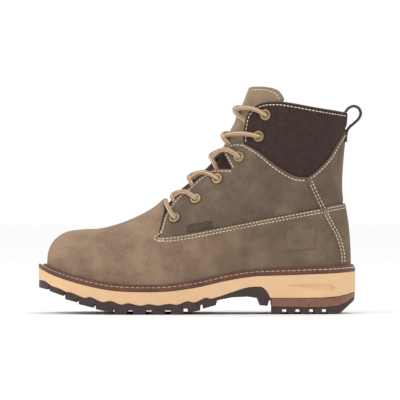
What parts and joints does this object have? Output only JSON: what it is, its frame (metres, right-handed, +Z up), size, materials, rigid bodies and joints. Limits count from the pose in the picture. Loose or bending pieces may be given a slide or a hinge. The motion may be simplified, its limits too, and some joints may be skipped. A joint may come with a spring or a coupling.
{
  "type": "steel toe work boot",
  "caption": "Lace-up ankle work boot with a steel toe cap, welted tan midsole, dark lugged rubber outsole, dark padded collar and pull loop.",
  "frame": {"origin": "centre of the bounding box on the ground plane under the sole", "axes": "+X towards the heel, -X towards the toe, -Y the outer (lateral) side, +Z up"},
  "size_m": [0.295, 0.1096, 0.2047],
  "materials": {
    "leather": "waxed nubuck, matt",
    "darkLeather": "smooth, semi matt",
    "lining": "matt mesh",
    "tan": "matt foamed rubber",
    "welt": "semi matt",
    "heelLayer": "matt textured",
    "rubber": "matt",
    "lace": "matt braid with lengthwise stripes",
    "brass": "aged, satin",
    "steel": "satin",
    "board": "matt fibre board",
    "cork": "matt cork",
    "foam": "matt foam",
    "plastic": "matt"
  },
  "bodies": {
    "boot": {"aglet_lateral": "plastic", "aglet_medial": "plastic", "back_lining": "lining", "back_panel": "leather", "collar_foam": "foam", "collar_lining": "lining", "collar_panel": "darkLeather", "eyelet_lateral_1": "brass", "eyelet_lateral_2": "brass", "eyelet_lateral_3": "brass", "eyelet_lateral_4": "brass", "eyelet_lateral_5": "brass", "eyelet_lateral_6": "brass", "eyelet_medial_1": "brass", "eyelet_medial_2": "brass", "eyelet_medial_3": "brass", "eyelet_medial_4": "brass", "eyelet_medial_5": "brass", "eyelet_medial_6": "brass", "footbed": "foam", "heel_counter_cover": "leather", "heel_layer": "heelLayer", "heel_lining": "lining", "heel_stiffener": "board", "heel_tread": "rubber", "insole_board": "board", "lace": "lace", "lace_tail_lateral": "lace", "lace_tail_medial": "lace", "midsole": "tan", "outsole": "rubber", "pull_loop_tab": "leather", "quarter_lateral": "leather", "quarter_lining_lateral": "lining", "quarter_lining_medial": "lining", "quarter_medial": "leather", "side_tag": "darkLeather", "sole_filler": "cork", "steel_shank": "steel", "steel_toe_cap": "steel", "toe_cap_edge": "plastic", "tongue_gusset": "darkLeather", "vamp": "leather", "vamp_lining": "lining", "welt": "welt"},
    "tongue": {"tongue_upper": "leather", "tongue_padding": "foam", "tongue_lining": "lining"},
    "loop": {"pull_loop": "leather"}
  },
  "joints": [
    {"name": "tongue_tilt", "type": "hinge", "parent": "boot", "child": "tongue", "pos_m": [0.02868, 0, 0.1205], "axis": [0, 1, 0], "range_deg": [0, 12]},
    {"name": "pull_loop_flex", "type": "hinge", "parent": "boot", "child": "loop", "pos_m": [0.13818, 0, 0.1695], "axis": [0, 1, 0], "range_deg": [-5, 20], "stiffness_Nm_per_rad": 0.01}
  ]
}
